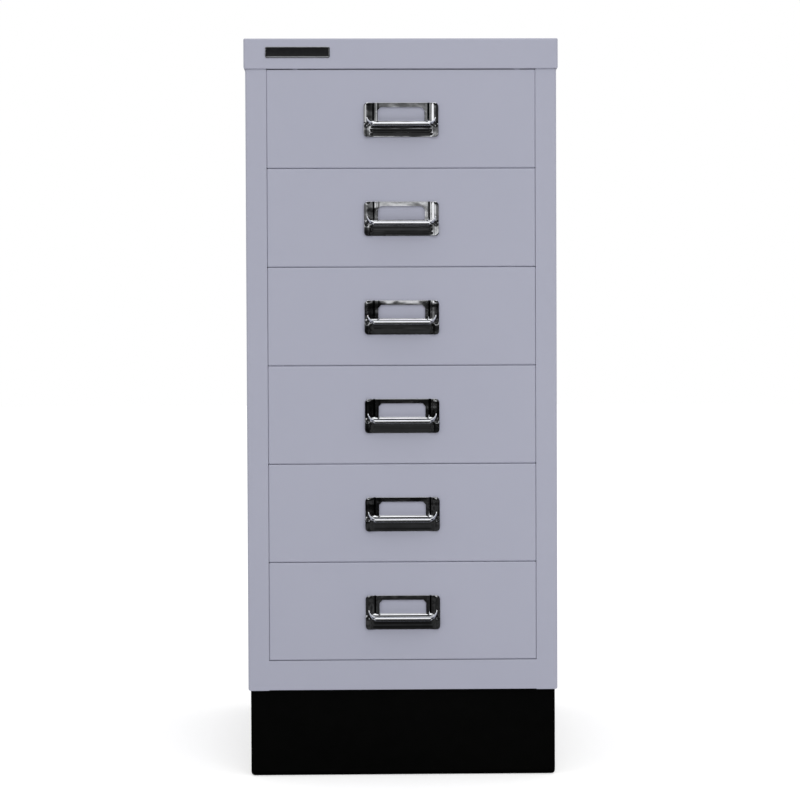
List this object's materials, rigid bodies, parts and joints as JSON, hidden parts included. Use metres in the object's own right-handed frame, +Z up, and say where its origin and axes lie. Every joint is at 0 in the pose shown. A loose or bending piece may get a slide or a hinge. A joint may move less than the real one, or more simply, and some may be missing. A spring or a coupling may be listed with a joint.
{
  "type": "small metal drawer cabinet",
  "caption": "Slim steel cabinet on a black plinth, with inset drawers on ball-cage runners and chrome label pulls.",
  "frame": {"origin": "centre of the cabinet's outline (width, and depth from the pulls to the back of the cap) on the floor", "axes": "+X to the right seen from the front, +Y from the drawer fronts to the back, +Z up"},
  "size_m": [0.2818, 0.3948, 0.6637],
  "materials": {
    "body_paint": "satin powder coat, pale lavender grey",
    "plinth_paint": "semi-gloss black powder coat",
    "pull_chrome": "bright chrome plate",
    "badge_metal": "dark polished plate, blank",
    "zinc_steel": "zinc plated",
    "ball_steel": "polished bearing steel",
    "cage_plastic": "natural nylon"
  },
  "bodies": {
    "cabinet": {"plinth": "plinth_paint", "plinth_screws": "zinc_steel", "plinth_nuts": "zinc_steel", "base_panel": "body_paint", "side_panel_left": "body_paint", "side_panel_right": "body_paint", "back_panel": "body_paint", "bottom_rail": "body_paint", "top_rail": "body_paint", "top_cap": "body_paint", "blank_badge": "badge_metal", "front_upright_left": "zinc_steel", "front_upright_right": "zinc_steel", "rear_upright_left": "zinc_steel", "rear_upright_right": "zinc_steel", "cabinet_channels_1": "zinc_steel", "cabinet_channels_2": "zinc_steel", "cabinet_channels_3": "zinc_steel", "cabinet_channels_4": "zinc_steel", "cabinet_channels_5": "zinc_steel", "cabinet_channels_6": "zinc_steel"},
    "drawer_1": {"drawer_front_1": "body_paint", "drawer_tray_1": "body_paint", "drawer_pull_1": "pull_chrome", "drawer_channels_1": "zinc_steel"},
    "ball_cage_1": {"ball_cages_1": "cage_plastic", "cage_balls_1": "ball_steel"},
    "drawer_2": {"drawer_front_2": "body_paint", "drawer_tray_2": "body_paint", "drawer_pull_2": "pull_chrome", "drawer_channels_2": "zinc_steel"},
    "ball_cage_2": {"ball_cages_2": "cage_plastic", "cage_balls_2": "ball_steel"},
    "drawer_3": {"drawer_front_3": "body_paint", "drawer_tray_3": "body_paint", "drawer_pull_3": "pull_chrome", "drawer_channels_3": "zinc_steel"},
    "ball_cage_3": {"ball_cages_3": "cage_plastic", "cage_balls_3": "ball_steel"},
    "drawer_4": {"drawer_front_4": "body_paint", "drawer_tray_4": "body_paint", "drawer_pull_4": "pull_chrome", "drawer_channels_4": "zinc_steel"},
    "ball_cage_4": {"ball_cages_4": "cage_plastic", "cage_balls_4": "ball_steel"},
    "drawer_5": {"drawer_front_5": "body_paint", "drawer_tray_5": "body_paint", "drawer_pull_5": "pull_chrome", "drawer_channels_5": "zinc_steel"},
    "ball_cage_5": {"ball_cages_5": "cage_plastic", "cage_balls_5": "ball_steel"},
    "drawer_6": {"drawer_front_6": "body_paint", "drawer_tray_6": "body_paint", "drawer_pull_6": "pull_chrome", "drawer_channels_6": "zinc_steel"},
    "ball_cage_6": {"ball_cages_6": "cage_plastic", "cage_balls_6": "ball_steel"}
  },
  "joints": [
    {"name": "drawer_1_slide", "type": "slide", "parent": "cabinet", "child": "drawer_1", "axis": [0, -1, 0], "range_m": [0, 0.262]},
    {"name": "drawer_2_slide", "type": "slide", "parent": "cabinet", "child": "drawer_2", "axis": [0, -1, 0], "range_m": [0, 0.262]},
    {"name": "drawer_3_slide", "type": "slide", "parent": "cabinet", "child": "drawer_3", "axis": [0, -1, 0], "range_m": [0, 0.262]},
    {"name": "drawer_4_slide", "type": "slide", "parent": "cabinet", "child": "drawer_4", "axis": [0, -1, 0], "range_m": [0, 0.262]},
    {"name": "drawer_5_slide", "type": "slide", "parent": "cabinet", "child": "drawer_5", "axis": [0, -1, 0], "range_m": [0, 0.262]},
    {"name": "drawer_6_slide", "type": "slide", "parent": "cabinet", "child": "drawer_6", "axis": [0, -1, 0], "range_m": [0, 0.262]},
    {"name": "ball_cage_1_roll", "type": "slide", "parent": "cabinet", "child": "ball_cage_1", "axis": [0, -1, 0], "range_m": [0, 0.131]},
    {"name": "ball_cage_2_roll", "type": "slide", "parent": "cabinet", "child": "ball_cage_2", "axis": [0, -1, 0], "range_m": [0, 0.131]},
    {"name": "ball_cage_3_roll", "type": "slide", "parent": "cabinet", "child": "ball_cage_3", "axis": [0, -1, 0], "range_m": [0, 0.131]},
    {"name": "ball_cage_4_roll", "type": "slide", "parent": "cabinet", "child": "ball_cage_4", "axis": [0, -1, 0], "range_m": [0, 0.131]},
    {"name": "ball_cage_5_roll", "type": "slide", "parent": "cabinet", "child": "ball_cage_5", "axis": [0, -1, 0], "range_m": [0, 0.131]},
    {"name": "ball_cage_6_roll", "type": "slide", "parent": "cabinet", "child": "ball_cage_6", "axis": [0, -1, 0], "range_m": [0, 0.131]}
  ],
  "couplings": [
    {"joint": "ball_cage_1_roll", "follows": "drawer_1_slide", "ratio": 0.5},
    {"joint": "ball_cage_2_roll", "follows": "drawer_2_slide", "ratio": 0.5},
    {"joint": "ball_cage_3_roll", "follows": "drawer_3_slide", "ratio": 0.5},
    {"joint": "ball_cage_4_roll", "follows": "drawer_4_slide", "ratio": 0.5},
    {"joint": "ball_cage_5_roll", "follows": "drawer_5_slide", "ratio": 0.5},
    {"joint": "ball_cage_6_roll", "follows": "drawer_6_slide", "ratio": 0.5}
  ]
}
